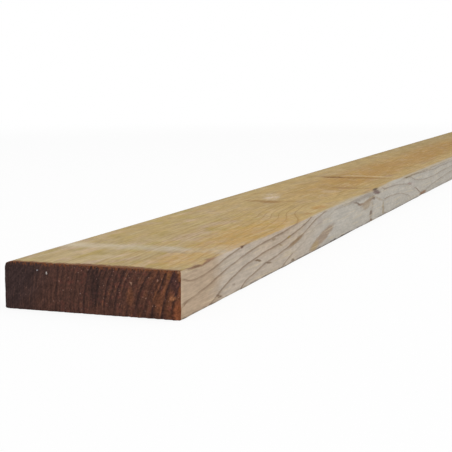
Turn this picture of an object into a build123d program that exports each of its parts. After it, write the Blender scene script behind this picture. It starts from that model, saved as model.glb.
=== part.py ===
"""A straight softwood plank, planed all round and sawn square at both ends.

The frame: the origin is at the centre of the underside, +X runs across the width,
+Y runs along the length from the near end to the far end, and +Z is up through the thickness.
"""

import os

from build123d import *

# Driving dimensions, in millimetres
plank_length = 2400.0
plank_width = 150.0
plank_thickness = 38.0
arris_radius = 1.5  # the rounding that the planer's cutters leave on the long edges

# The plank is the planed section, run the whole length of the board.
# The saw leaves the two ends flat and square, so their edges stay sharp.
with BuildPart() as plank:
    with BuildSketch(Plane.XZ) as planed_section:
        Rectangle(plank_width, plank_thickness, align=(Align.CENTER, Align.MIN))
        fillet(planed_section.vertices(), radius=arris_radius)
    extrude(amount=plank_length / 2, both=True)

plank.part.label = "plank"

os.makedirs("parts", exist_ok=True)
export_step(plank.part, "parts/plank.step")
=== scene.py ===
"""The looks of a softwood plank: its growth rings, planed faces, knots and dark sawn ends.

Lengths are in millimetres unless a name says otherwise. Places on the plank are given from its near
lower left corner: across from the left edge, along from the near end, and up from the underside.
"""

import logging
import math
from dataclasses import dataclass
from enum import Enum
from functools import partial
from typing import Any

import bmesh
import bpy
import numpy as np
from mathutils import Euler, Matrix, Vector, noise


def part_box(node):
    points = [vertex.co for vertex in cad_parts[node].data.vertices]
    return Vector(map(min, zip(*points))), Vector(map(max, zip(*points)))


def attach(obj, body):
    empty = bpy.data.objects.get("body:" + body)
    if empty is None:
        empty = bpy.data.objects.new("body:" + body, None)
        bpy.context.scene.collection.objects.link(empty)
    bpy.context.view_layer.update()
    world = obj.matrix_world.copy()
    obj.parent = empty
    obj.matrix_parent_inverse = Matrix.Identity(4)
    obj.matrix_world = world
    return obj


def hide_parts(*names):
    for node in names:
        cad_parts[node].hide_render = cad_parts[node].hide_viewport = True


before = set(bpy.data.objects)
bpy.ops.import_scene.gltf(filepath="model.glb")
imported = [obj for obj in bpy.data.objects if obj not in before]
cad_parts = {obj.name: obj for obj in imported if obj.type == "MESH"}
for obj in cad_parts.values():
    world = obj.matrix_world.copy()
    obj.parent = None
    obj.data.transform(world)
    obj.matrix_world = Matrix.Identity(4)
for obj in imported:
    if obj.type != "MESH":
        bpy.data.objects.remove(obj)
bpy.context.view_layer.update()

MM = 0.001  # metres in a millimetre
TINY = 1e-9  # keeps a division from failing
SKIN = 0.01  # a vertex this near to a face lies on it
WELD = 1e-7  # metres; a cut this near to a vertex goes through it
ORIGIN = (0.0, 0.0, 0.0)
WHITE = (1.0, 1.0, 1.0, 1.0)
BAKE_MAP = "OFBake"  # the name of the plank's own flat layout
RING = "ring"  # the attribute that counts growth rings outwards from the pith
STEP = "ring_step"  # the attribute that says how many rings the face crosses in a millimetre
EDGE = "edge_share"  # the attribute that is 0 on the wide faces and 1 on the narrow ones

NODE = "plank"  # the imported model's node
LOW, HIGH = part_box(NODE)
WIDTH, LENGTH, THICKNESS = (round(size / MM, 3) for size in HIGH - LOW)

LOG = logging.getLogger("plank")

Colour = tuple[int, int, int]
Pair = tuple[float, float]
Point = tuple[float, float, float]
Stops = tuple[Pair, ...]
Socket = bpy.types.NodeSocket
Input = Socket | float | tuple
Inputs = dict[str | int, Input]


def linear(colour: Colour) -> tuple[float, float, float, float]:
    """Turns a display colour into the linear one that a shader takes.

    Args:
        colour: Red, green and blue, from 0 to 255, as they look on a screen.

    Returns:
        Linear red, green, blue and an alpha of 1.
    """
    shares = [channel / 255 for channel in colour]
    low = [share / 12.92 for share in shares]
    high = [((share + 0.055) / 1.055) ** 2.4 for share in shares]
    mixed = [small if share <= 0.04045 else large for share, small, large in zip(shares, low, high)]
    return (*mixed, 1.0)


def noise_at(points: np.ndarray, lumps: Point) -> np.ndarray:
    """Reads a fixed smooth noise.

    Args:
        points: Places, one row each.
        lumps: The size of the noise's lumps along each axis.

    Returns:
        A value from about -1 to 1 for each place.
    """
    scaled = points / np.array(lumps)
    return np.array([noise.noise(Vector(row)) for row in scaled])


def read_values(items: Any, name: str, kind: type, parts: int = 1) -> np.ndarray:
    """Reads one value of every item in a part of a mesh.

    Args:
        items: The mesh's vertices, faces, corners or attribute values.
        name: The value's name.
        kind: The kind of number.
        parts: How many numbers each value has.

    Returns:
        The values in the items' order, one row each where they have several parts.
    """
    values = np.empty(len(items) * parts, kind)
    items.foreach_get(name, values)
    return values.reshape(-1, parts) if parts > 1 else values


class Finish(Enum):
    """The plank's two finishes, as material slots."""

    PLANED = 0
    SAWN = 1


class Arris(Enum):
    """The four long edges: the sign across and the sign up from the plank's middle."""

    TOP_LEFT = (-1, 1)
    TOP_RIGHT = (1, 1)
    BOTTOM_LEFT = (-1, -1)
    BOTTOM_RIGHT = (1, -1)


class Face(Enum):
    """The faces with marks: the axis each is square to, its place there and how deep marks go."""

    RIGHT = (0, WIDTH, 6.0)
    NEAR_END = (1, 0.0, 60.0)
    TOP = (2, THICKNESS, 5.0)


@dataclass(frozen=True)
class Ramp:
    """A smooth change from start, at low, to end, at high."""

    low: float
    high: float
    start: float = 0.0
    end: float = 1.0

    def at(self, values: np.ndarray) -> np.ndarray:
        """Returns the ramp's level at each value."""
        share = np.clip((values - self.low) / (self.high - self.low), 0.0, 1.0)
        return self.start + (self.end - self.start) * share * share * (3.0 - 2.0 * share)


@dataclass(frozen=True)
class Cloud:
    """A soft noise in the wood."""

    lumps: Point  # the size of its lumps across, along and up
    detail: float = 2.0
    roughness: float = 0.5


@dataclass(frozen=True)
class Surface:
    """How a finish takes the light."""

    roughness: float
    specular: float
    relief_depth: float  # of what is finer than the mesh


@dataclass(frozen=True)
class PithStation:
    """A place that the tree's pith passes through."""

    along: float
    across: float
    height: float


@dataclass(frozen=True)
class Nick:
    """A small dent or a long worn stretch in a long edge."""

    arris: Arris
    along: float
    reach: float
    depth: float


@dataclass(frozen=True)
class Mark:
    """A knot, fleck or stain: a soft-edged lump of another colour in the wood."""

    middle: Point
    reach: Point
    colour: Colour
    strength: float  # how much of its middle it covers, from 0 to 1
    slope: Pair = (0.0, 0.0)  # how far it runs across and up for each millimetre along
    sunk: float = 0.0  # how far its middle lies below the face
    broken: float = 0.0  # how far the grain breaks it up, from 0 to 1
    core: float = 0.35  # the share of its reach that it fills evenly

    @classmethod
    def on(
        cls, face: Face, place: Pair, reach: Pair, colour: Colour, strength: float,
        lean: float = 0.0, deep: float | None = None, **rest: float,
    ) -> "Mark":
        """Makes a mark on one of the faces.

        Args:
            face: The face that bears it.
            place: Its middle on that face: along and up on the right edge, across and up on the near
                end, across and along on the top.
            reach: How far it reaches over the face, in the same order.
            colour: Its colour.
            strength: How much of its middle it covers, from 0 to 1.
            lean: How far it runs over the face for each millimetre along.
            deep: How far it reaches into the wood, where that isn't the face's usual depth.
            rest: The mark's other values.

        Returns:
            The mark.
        """
        axis, level, usual = face.value
        middle = (*place[:axis], level, *place[axis:])
        whole_reach = (*reach[:axis], deep or usual, *reach[axis:])
        slope = (lean, 0.0) if face is Face.TOP else (0.0, lean)
        return cls(middle, whole_reach, colour, strength, slope, **rest)

    def share(self, places: np.ndarray) -> np.ndarray:
        """Measures how much of the mark covers places.

        Args:
            places: Places on the plank.

        Returns:
            The share at each of them, from 0 to 1.
        """
        offset = places - np.array(self.middle)
        offset[:, 0] -= self.slope[0] * offset[:, 1]
        offset[:, 2] -= self.slope[1] * offset[:, 1]
        away = np.linalg.norm(offset / np.array(self.reach), axis=1)
        return Ramp(self.core, 1.0, 1.0, 0.0).at(away)


@dataclass(frozen=True)
class GrowthRings:
    """The tree's growth rings, as a count that rises outwards from the pith.

    The pith lies off the plank's right edge. It comes up to that edge about 400 mm along,
    runs beside it through a whorl of branches and leaves it again.
    """

    pith: tuple[PithStation, ...]
    mean_across: float = 182.0
    mean_height: float = 0.0
    follow: Ramp = Ramp(66.0, 187.0, 1.0, 0.0)  # how far rings follow the pith's bends, by radius
    core_radius: float = 21.5  # the heart, which shows no ring lines
    core_count: float = 3.0
    core_fall: float = 0.94  # the most that the count falls inside the heart
    young_width: float = 7.16  # of a ring near the heart
    young_radius: float = 82.0
    old_radius: float = 96.0
    old_width: float = 4.2
    last_radius: float = 210.0
    last_width: float = 3.0
    outer_radius: float = 420.0
    radius_step: float = 0.5  # for adding up the rings
    year_spread: float = 0.45  # how much good and bad years differ
    year_lump: float = 7.0
    year_shift: float = 0.37  # keeps the years off the noise's even zeros
    bend_window: int = 14  # along the pith, for rounding its bends
    unevenness: float = 0.45
    unevenness_lumps: Point = (23.0, 95.0, 23.0)

    def path(self, along: np.ndarray) -> tuple[np.ndarray, np.ndarray]:
        """Finds the pith.

        Args:
            along: Places along the plank.

        Returns:
            Where the pith is across and up at those places.
        """
        stations = np.array([station.along for station in self.pith])
        fine = np.arange(stations[0] - self.bend_window, stations[-1] + self.bend_window + 1.0)
        window = np.hanning(2 * self.bend_window + 1)
        window /= window.sum()
        lines = []
        for name in ("across", "height"):
            values = np.interp(fine, stations, [getattr(station, name) for station in self.pith])
            padded = np.pad(values, self.bend_window, mode="edge")
            lines.append(np.interp(along, fine, np.convolve(padded, window, mode="valid")))
        return lines[0], lines[1]

    def radius(self, places: np.ndarray) -> np.ndarray:
        """Measures how far places are from the pith, in the tree's own slightly uneven way.

        Args:
            places: Places on the plank.

        Returns:
            The radius at each of them.
        """
        across, height = self.path(places[:, 1])
        plain = np.hypot(places[:, 0] - self.mean_across, places[:, 2] - self.mean_height)
        follow = self.follow.at(plain)
        across = self.mean_across + follow * (across - self.mean_across)
        height = self.mean_height + follow * (height - self.mean_height)
        away = np.hypot(places[:, 0] - across, places[:, 2] - height)
        return away + self.unevenness * noise_at(places, self.unevenness_lumps)

    def widths(self, radii: np.ndarray) -> np.ndarray:
        """Finds how wide the rings are.

        Args:
            radii: Distances from the pith.

        Returns:
            The width of a ring at each of them.
        """
        corners = [self.young_radius, self.old_radius, self.last_radius]
        plain = np.interp(radii, corners, [self.young_width, self.old_width, self.last_width])
        steps = np.stack((radii, radii * 0.0, radii * 0.0), axis=1)
        years = noise_at(steps + self.year_shift, (self.year_lump, self.year_lump, self.year_lump))
        return plain * (1.0 + self.year_spread * years * (radii > self.young_radius))

    def count(self, places: np.ndarray) -> np.ndarray:
        """Counts the rings out to places.

        Args:
            places: Places on the plank.

        Returns:
            The count at each of them. A whole number is the dark line that ends a ring.
        """
        radii = np.arange(self.core_radius, self.outer_radius, self.radius_step)
        added = np.cumsum(self.radius_step / self.widths(radii[:-1]))
        counts = self.core_count + np.concatenate(([0.0], added))
        away = self.radius(places)
        fall = np.minimum((self.core_radius - away) / self.young_width, self.core_fall)
        return np.where(away < self.core_radius, self.core_count - fall, np.interp(away, radii, counts))


class NodeSheet:
    """The nodes of a material or of the surround, with short ways to add and join them."""

    def __init__(self, owner: bpy.types.Material | bpy.types.World) -> None:
        """Starts afresh, with no nodes.

        Args:
            owner: The material, or the world for the surround.
        """
        owner.use_nodes = True
        self.owner = owner
        self.tree = owner.node_tree
        self.tree.nodes.clear()

    def add(self, kind: str, inputs: Inputs | None = None, **settings: Any) -> bpy.types.Node:
        """Adds a node.

        Args:
            kind: The node's type name.
            inputs: Values or sockets for its inputs.
            settings: The node's own properties.

        Returns:
            The node.
        """
        node = self.tree.nodes.new(kind)
        for name, value in settings.items():
            setattr(node, name, value)
        for name, value in (inputs or {}).items():
            if isinstance(value, Socket):
                self.tree.links.new(value, node.inputs[name])
            else:
                node.inputs[name].default_value = value
        return node

    def maths(self, operation: str, first: Input, second: Input = 0.0, third: Input = 0.0) -> Socket:
        """Adds a sum on numbers and returns its result."""
        node = self.add("ShaderNodeMath", {0: first, 1: second, 2: third}, operation=operation)
        return node.outputs[0]

    def times(self, first: Input, *others: Input) -> Socket:
        """Multiplies numbers together.

        Args:
            first: The first number.
            others: The numbers to multiply it by.

        Returns:
            The result.
        """
        for other in others:
            first = self.maths("MULTIPLY", first, other)
        return first

    def vectors(self, operation: str, first: Input, second: Input, third: Input = ORIGIN) -> Socket:
        """Adds a sum on vectors and returns its vector result."""
        node = self.add("ShaderNodeVectorMath", {0: first, 1: second, 2: third}, operation=operation)
        return node.outputs["Vector"]

    def length(self, vector: Socket) -> Socket:
        """Returns the length of a vector."""
        return self.add("ShaderNodeVectorMath", {0: vector}, operation="LENGTH").outputs["Value"]

    def ease(self, value: Input, ramp: Ramp) -> Socket:
        """Returns a ramp's level at a value."""
        inputs = {"Value": value, 1: ramp.low, 2: ramp.high, 3: ramp.start, 4: ramp.end}
        return self.add("ShaderNodeMapRange", inputs, interpolation_type="SMOOTHSTEP").outputs[0]

    def seen(self) -> Socket:
        """Tells what is seen from what only lights the set.

        Returns:
            1 for a ray that is seen, straight, mirrored or through glass, and 0 for others.
        """
        path = self.add("ShaderNodeLightPath").outputs
        mirrored = self.maths("MAXIMUM", path["Is Camera Ray"], path["Is Glossy Ray"])
        return self.maths("MAXIMUM", mirrored, path["Is Transmission Ray"])

    def end(self, shader: bpy.types.Node, output: str = "ShaderNodeOutputMaterial") -> None:
        """Shows a shader as the sheet's result."""
        self.add(output, {"Surface": shader.outputs[0]})


class WoodSheet(NodeSheet):
    """The nodes of one of the plank's materials, which go by the shaded point's place on the plank."""

    def __init__(self, name: str) -> None:
        """Starts a new material and finds the place.

        Args:
            name: The material's name.
        """
        super().__init__(bpy.data.materials.new(name))
        coordinates = self.add("ShaderNodeTexCoord").outputs["Object"]
        corner = (WIDTH / 2, LENGTH / 2, 0.0)
        self.place = self.vectors("MULTIPLY_ADD", coordinates, (1 / MM, 1 / MM, 1 / MM), corner)
        self.across, self.along, self.up = self.axes(self.place)

    def join(self, across: Input, along: Input, up: Input) -> Socket:
        """Makes a vector of three parts."""
        return self.add("ShaderNodeCombineXYZ", {0: across, 1: along, 2: up}).outputs[0]

    def axes(self, vector: Socket) -> tuple[Socket, Socket, Socket]:
        """Splits a vector into its three parts."""
        node = self.add("ShaderNodeSeparateXYZ", {0: vector})
        return node.outputs[0], node.outputs[1], node.outputs[2]

    def attribute(self, name: str) -> Socket:
        """Returns one of the plank's own recorded values."""
        node = self.add("ShaderNodeAttribute", attribute_name=name, attribute_type="GEOMETRY")
        return node.outputs["Fac"]

    def rest(self, share: Input) -> Socket:
        """Returns what a share leaves of 1."""
        return self.maths("SUBTRACT", 1.0, share)

    def share(self, *parts: tuple[Input, Ramp]) -> Socket:
        """Multiplies ramps, each read at its value, and returns the result."""
        return self.times(*(self.ease(value, ramp) for value, ramp in parts))

    def blend(self, share: Input, first: Input, second: Input, how: str = "MIX") -> Socket:
        """Mixes two colours.

        Args:
            share: How far the second one counts, from 0 to 1.
            first: The first colour.
            second: The second colour.
            how: The kind of mixing.

        Returns:
            The mixed colour.
        """
        inputs = {0: share, 6: first, 7: second}
        node = self.add("ShaderNodeMix", inputs, data_type="RGBA", blend_type=how, clamp_factor=True)
        return node.outputs[2]

    def tint(self, colour: Socket, share: Input, other: Colour) -> Socket:
        """Lays a display colour over another colour by a share."""
        return self.blend(share, colour, linear(other))

    def wash(self, colour: Socket, other: Colour, *parts: tuple[Input, Ramp]) -> Socket:
        """Lays a display colour over another colour by the product of ramps, each read at its value."""
        return self.tint(colour, self.share(*parts), other)

    def shade(self, colour: Socket, level: Socket) -> Socket:
        """Darkens or lightens a colour by a level, where 1 leaves it as it is."""
        return self.blend(1.0, colour, self.join(level, level, level), "MULTIPLY")

    def cloud(self, cloud: Cloud, place: Socket | None = None) -> bpy.types.Node:
        """Adds a noise.

        Args:
            cloud: The noise.
            place: Where to read it, if that isn't the shaded point's place.

        Returns:
            Its node.
        """
        scales = tuple(1.0 / lump for lump in cloud.lumps)
        stretched = self.vectors("MULTIPLY", self.place if place is None else place, scales)
        return self.add("ShaderNodeTexNoise", {
            "Vector": stretched, "Scale": 1.0, "Detail": cloud.detail, "Roughness": cloud.roughness,
        }, noise_dimensions="3D")

    def level(self, cloud: Cloud, place: Socket | None = None) -> Socket:
        """Adds a noise and returns its value, which is about 0.5 on the whole."""
        return self.cloud(cloud, place).outputs["Fac"]

    def levels(self, cloud: Cloud) -> tuple[Socket, Socket, Socket]:
        """Adds a noise and returns three values of it."""
        return self.axes(self.cloud(cloud).outputs["Color"])

    def shift(self, value: Input, level: Socket, reach: float) -> Socket:
        """Moves a value up or down by a noise, by half the reach at most."""
        return self.maths("ADD", value, self.maths("MULTIPLY_ADD", level, reach, -reach / 2))

    def sway(self, cloud: Cloud, reach: Point) -> Socket:
        """Returns the place, moved about by a noise, by half the reach at most."""
        moved = self.vectors("MULTIPLY_ADD", self.cloud(cloud).outputs["Color"], reach, self.place)
        return self.vectors("SUBTRACT", moved, tuple(part / 2 for part in reach))

    def profile(self, value: Socket, stops: Stops) -> Socket:
        """Turns a value into another.

        Args:
            value: The value.
            stops: Values and what they become. A line joins them.

        Returns:
            What the value becomes.
        """
        node = self.add("ShaderNodeValToRGB", {"Fac": value})
        elements = node.color_ramp.elements
        while len(elements) < len(stops):
            elements.new(0.5)
        for element, (position, level) in zip(elements, stops):
            element.position = position
            element.color = (level, level, level, 1.0)
        return node.outputs["Color"]

    def pick(self, number: Socket) -> Socket:
        """Returns a value from 0 to 1 that is fixed for each whole number."""
        whole = self.maths("FLOOR", number)
        return self.add("ShaderNodeTexWhiteNoise", {"W": whole}, noise_dimensions="1D").outputs["Value"]

    def spot(self, place: Socket, mark: Mark) -> Socket:
        """Finds how much of a mark covers a place.

        Args:
            place: The place.
            mark: The mark.

        Returns:
            The share that it covers, times the mark's strength.
        """
        offset = self.vectors("SUBTRACT", place, mark.middle)
        if any(mark.slope):
            run = (-mark.slope[0], 0.0, -mark.slope[1])
            inputs = {0: run, "Scale": self.axes(offset)[1]}
            slip = self.add("ShaderNodeVectorMath", inputs, operation="SCALE").outputs["Vector"]
            offset = self.vectors("ADD", offset, slip)
        scaled = self.vectors("MULTIPLY", offset, tuple(1.0 / size for size in mark.reach))
        return self.ease(self.length(scaled), Ramp(mark.core, 1.0, mark.strength, 0.0))

    def finish(self, colour: Socket, surface: Surface, relief: Socket) -> bpy.types.Material:
        """Ends the material in one shader.

        Args:
            colour: The surface's colour.
            surface: How it takes the light.
            relief: A height, from 0 to 1, for what is finer than the mesh.

        Returns:
            The material.
        """
        heights = {"Strength": 1.0, "Distance": surface.relief_depth * MM, "Height": relief}
        bump = self.add("ShaderNodeBump", heights)
        self.end(self.add("ShaderNodeBsdfPrincipled", {
            "Base Color": colour, "Roughness": surface.roughness,
            "Specular IOR Level": surface.specular, "Normal": bump.outputs[0],
        }))
        return self.owner


@dataclass(frozen=True)
class RingLines:
    """The dark lines that end the growth rings, on the planed faces."""

    thin_stops: Stops = ((0.0, 0.0), (0.62, 0.0), (0.86, 0.2), (0.93, 0.9), (1.0, 1.0))
    dense_stops: Stops = ((0.0, 0.3), (0.12, 0.0), (0.45, 0.1), (0.82, 0.6), (0.95, 0.75), (1.0, 0.5))
    dense_rings: Ramp = Ramp(9.0, 13.0)  # by ring count, as the next ramps of rings are
    plain_step: float = 0.065  # rings a millimetre; lines are kept as thin where a face crosses fewer
    widest: Ramp = Ramp(0.0, 1.0, 1.0, 2.5)  # how far lines may widen, by the share of edge
    slow_wander: Cloud = Cloud((16.0, 60.0, 16.0))
    slow_sway: float = 0.22  # of a ring
    quick_wander: Cloud = Cloud((2.5, 22.0, 2.5))
    quick_sway: float = 0.12
    weak_years: Ramp = Ramp(0.0, 1.0, 0.8, 0.0)
    fading: Cloud = Cloud((22.0, 45.0, 12.0))
    faded: Ramp = Ramp(0.32, 0.55, 0.75, 1.0)
    heart_rings: Ramp = Ramp(3.3, 3.1)
    heart_start: Ramp = Ramp(270.0, 300.0, 0.0, 0.7)  # along, as the next starts and ends are
    whorl_rings: Ramp = Ramp(4.4, 4.1)
    whorl_start: Ramp = Ramp(440.0, 500.0)
    whorl_end: Ramp = Ramp(705.0, 690.0)
    top_rings: Ramp = Ramp(5.45, 5.2)
    top_start: Ramp = Ramp(335.0, 365.0)

    def draw(self, sheet: WoodSheet, edge: Socket) -> Socket:
        """Draws the lines.

        Args:
            sheet: The material's nodes.
            edge: 0 on the wide faces and 1 on the narrow ones.

        Returns:
            How dark the lines are, from 0 to 1.
        """
        ring = sheet.attribute(RING)
        crossed = sheet.maths("DIVIDE", sheet.attribute(STEP), self.plain_step)
        sway = sheet.shift(0.0, sheet.level(self.slow_wander), self.slow_sway)
        sway = sheet.shift(sway, sheet.level(self.quick_wander), self.quick_sway)
        count = sheet.maths("MULTIPLY_ADD", sway, sheet.maths("MINIMUM", crossed, 1.0), ring)
        part = sheet.maths("FRACT", count)
        width = sheet.maths("MINIMUM", crossed, sheet.ease(edge, self.widest))
        before = sheet.maths("DIVIDE", sheet.rest(part), width)
        thin = sheet.profile(sheet.rest(before), self.thin_stops)
        dense = sheet.ease(ring, self.dense_rings)
        lines = sheet.blend(dense, thin, sheet.profile(part, self.dense_stops))
        weak = sheet.share((ring, self.dense_rings), (sheet.pick(count), self.weak_years))
        kept = sheet.times(sheet.rest(weak), sheet.rest(self.heart(sheet, edge, ring)))
        return sheet.times(lines, kept, sheet.ease(sheet.level(self.fading), self.faded))

    def heart(self, sheet: WoodSheet, edge: Socket, ring: Socket) -> Socket:
        """Finds the wood round the pith and its whorl, where no lines show.

        Args:
            sheet: The material's nodes.
            edge: 0 on the wide faces and 1 on the narrow ones.
            ring: The ring count.

        Returns:
            How far the lines are hidden, from 0 to 1.
        """
        along = sheet.along
        before_end = (along, self.whorl_end)
        inner = sheet.share((ring, self.heart_rings), (along, self.heart_start))
        whorl = sheet.share((ring, self.whorl_rings), (along, self.whorl_start), before_end)
        top = sheet.share((ring, self.top_rings), (along, self.top_start), before_end)
        return sheet.blend(edge, top, sheet.maths("MAXIMUM", inner, whorl))


@dataclass(frozen=True)
class SpacerBand:
    """A pale band across the top, where a spacer lay in the plank's stack."""

    pale: Colour = (194, 180, 154)
    grey: Colour = (186, 178, 166)
    along: float = 98.0
    slant: float = 0.04  # how far along it runs for each millimetre across
    lowest: float = 20.0  # keeps it off the underside
    ragged: Cloud = Cloud((17.0, 11.0, 9.0), 3.0, 0.6)
    sway: float = 10.0
    fade: Ramp = Ramp(2.2, 22.0, 0.9, 0.0)  # outwards from its middle
    patches: Ramp = Ramp(0.35, 0.6, 0.6, 1.0)
    fainter: Ramp = Ramp(20.0, 70.0, 1.0, 0.62)  # across
    greyer: Ramp = Ramp(40.0, 90.0)  # across

    def lay(self, sheet: WoodSheet, colour: Socket) -> Socket:
        """Lays the band over the top's colour.

        Args:
            sheet: The material's nodes.
            colour: The colour so far.

        Returns:
            The colour with the band.
        """
        ragged = sheet.level(self.ragged)
        middle = sheet.maths("MULTIPLY_ADD", sheet.across, self.slant, self.along)
        offset = sheet.maths("SUBTRACT", sheet.along, sheet.shift(middle, ragged, self.sway))
        away = sheet.maths("ABSOLUTE", offset)
        share = sheet.share((away, self.fade), (ragged, self.patches), (sheet.across, self.fainter))
        share = sheet.times(share, sheet.maths("GREATER_THAN", sheet.up, self.lowest))
        greyer = sheet.ease(sheet.across, self.greyer)
        return sheet.blend(share, colour, sheet.blend(greyer, linear(self.pale), linear(self.grey)))


MOTTLE = Cloud((13.0, 42.0, 9.0), 4.0, 0.6)  # blotches of the planed faces
ARRIS_HIGHLIGHT_GREY: Colour = (178, 168, 154)  # a painted highlight, pale grey, along the right arris


@dataclass(frozen=True)
class WideFaces:
    """The colour of the top and the underside: yellow-tan, with amber, olive and pink in it.

    A ramp's name ends in what it goes by: left and right are across, near and far are along.
    """

    pale: Colour = (178, 160, 122)
    tan: Colour = (177, 151, 102)
    amber: Colour = (169, 133, 76)
    olive: Colour = (164, 145, 80)
    pink: Colour = (187, 163, 140)
    ring_line: Colour = (138, 103, 63)
    shadow: Colour = (138, 118, 70)
    arris_highlight: Colour = ARRIS_HIGHLIGHT_GREY
    streak: Cloud = Cloud((14.0, 420.0, 30.0), 3.0, 0.6)
    drift: Cloud = Cloud((60.0, 190.0, 60.0), 2.0)
    mottle: Cloud = MOTTLE
    band: SpacerBand = SpacerBand()
    pale_near: Ramp = Ramp(60.0, 480.0, 0.75, 0.15)
    pale_left: Ramp = Ramp(20.0, 95.0, 0.2, -0.15)
    pale_streak: Ramp = Ramp(0.3, 0.7, -0.35, 0.35)
    amber_left: Ramp = Ramp(16.0, 78.0)
    amber_right: Ramp = Ramp(130.0, 104.0, 0.05, 1.0)
    amber_far: Ramp = Ramp(440.0, 830.0)
    amber_drift: Ramp = Ramp(0.2, 0.6, 0.55, 1.0)
    amber_streak: Ramp = Ramp(0.5, 0.8, 0.0, 0.45)
    shadow_left: Ramp = Ramp(60.0, 20.0)
    shadow_far: Ramp = Ramp(850.0, 1600.0, 0.0, 0.3)
    blotchy_near: Ramp = Ramp(250.0, 430.0, 1.0, 0.35)
    olive_mottle: Ramp = Ramp(0.46, 0.64, 0.0, 0.6)
    pink_mottle: Ramp = Ramp(0.48, 0.64, 0.0, 0.65)
    shade_mottle: Ramp = Ramp(0.3, 0.7, 0.91, 1.08)
    line_share: float = 0.55
    arris_left: Ramp = Ramp(5.5, 1.6, 0.0, 0.85)
    highlight_sway: float = 6.0
    highlight_right: Ramp = Ramp(144.0, 149.0)
    highlight_far: Ramp = Ramp(280.0, 420.0, 0.0, 0.75)
    wider_far: Ramp = Ramp(640.0, 760.0, 0.0, 4.0)  # millimetres more of the painted arris highlight

    def colour(self, sheet: WoodSheet, line: Socket) -> Socket:
        """Finds the faces' colour.

        Args:
            sheet: The material's nodes.
            line: How dark the ring lines are.

        Returns:
            The colour.
        """
        olive, pink, shade = sheet.levels(self.mottle)
        blotchy = (sheet.along, self.blotchy_near)
        colour = self.ground(sheet)
        colour = sheet.wash(colour, self.olive, (olive, self.olive_mottle), blotchy)
        colour = sheet.wash(colour, self.pink, (pink, self.pink_mottle), blotchy)
        colour = sheet.shade(colour, sheet.ease(shade, self.shade_mottle))
        colour = sheet.tint(colour, sheet.times(line, self.line_share), self.ring_line)
        colour = sheet.wash(colour, self.shadow, (sheet.across, self.arris_left))
        # A painted highlight along the right edge of the top, wider further along
        margin = sheet.shift(sheet.across, olive, self.highlight_sway)
        margin = sheet.maths("ADD", margin, sheet.ease(sheet.along, self.wider_far))
        colour = sheet.wash(colour, self.arris_highlight, (margin, self.highlight_right), (sheet.along, self.highlight_far))
        return self.band.lay(sheet, colour)

    def ground(self, sheet: WoodSheet) -> Socket:
        """Finds the colour under the blotches and lines: paler near by, and more amber further along.

        Args:
            sheet: The material's nodes.

        Returns:
            The colour.
        """
        across = sheet.across
        along = sheet.along
        streak = sheet.level(self.streak)
        pale = sheet.maths("ADD", sheet.ease(along, self.pale_near), sheet.ease(across, self.pale_left))
        pale = sheet.maths("ADD", pale, sheet.ease(streak, self.pale_streak))
        colour = sheet.blend(pale, linear(self.tan), linear(self.pale))
        amber = sheet.share(
            (across, self.amber_left), (across, self.amber_right), (along, self.amber_far),
            (sheet.level(self.drift), self.amber_drift),
        )
        amber = sheet.maths("ADD", amber, sheet.ease(streak, self.amber_streak))
        colour = sheet.tint(colour, amber, self.amber)
        return sheet.wash(colour, self.shadow, (across, self.shadow_left), (along, self.shadow_far))


@dataclass(frozen=True)
class NarrowFaces:
    """The colour of the two narrow faces: grey-beige, and browner by the near end.

    A ramp's name ends in what it goes by: near and far are along.
    """

    near: Colour = (181, 160, 137)
    middle: Colour = (186, 173, 158)
    warm: Colour = (184, 168, 150)
    far: Colour = (182, 176, 166)
    ring_line: Colour = (120, 97, 75)
    arris_highlight: Colour = ARRIS_HIGHLIGHT_GREY
    mottle: Cloud = MOTTLE
    sway: float = 60.0
    middle_near: Ramp = Ramp(60.0, 100.0)
    warm_up: Ramp = Ramp(16.0, 24.0)
    warm_near: Ramp = Ramp(150.0, 220.0)
    grey_far: Ramp = Ramp(260.0, 450.0)
    shade_mottle: Ramp = Ramp(0.3, 0.7, 0.95, 1.05)
    highlight_up: Ramp = Ramp(33.5, 36.5)
    highlight_far: Ramp = Ramp(330.0, 620.0, 0.0, 0.7)
    lines_near: Ramp = Ramp(40.0, 110.0, 0.82, 1.0)
    lines_far: Ramp = Ramp(640.0, 760.0, 0.7, 0.42)

    def colour(self, sheet: WoodSheet, line: Socket) -> Socket:
        """Finds the faces' colour.

        Args:
            sheet: The material's nodes.
            line: How dark the ring lines are.

        Returns:
            The colour.
        """
        along = sheet.along
        drift, shade, _ = sheet.levels(self.mottle)
        swayed = sheet.shift(along, drift, self.sway)
        past_near = sheet.ease(swayed, self.middle_near)
        colour = sheet.blend(past_near, linear(self.near), linear(self.middle))
        colour = sheet.wash(colour, self.warm, (sheet.up, self.warm_up), (along, self.warm_near))
        colour = sheet.wash(colour, self.far, (swayed, self.grey_far))
        colour = sheet.shade(colour, sheet.ease(shade, self.shade_mottle))
        # A painted highlight along the top of the narrow faces, by the upper arris
        colour = sheet.wash(colour, self.arris_highlight, (sheet.up, self.highlight_up), (along, self.highlight_far))
        line = sheet.times(line, sheet.share((along, self.lines_near), (along, self.lines_far)))
        return sheet.tint(colour, line, self.ring_line)


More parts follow.
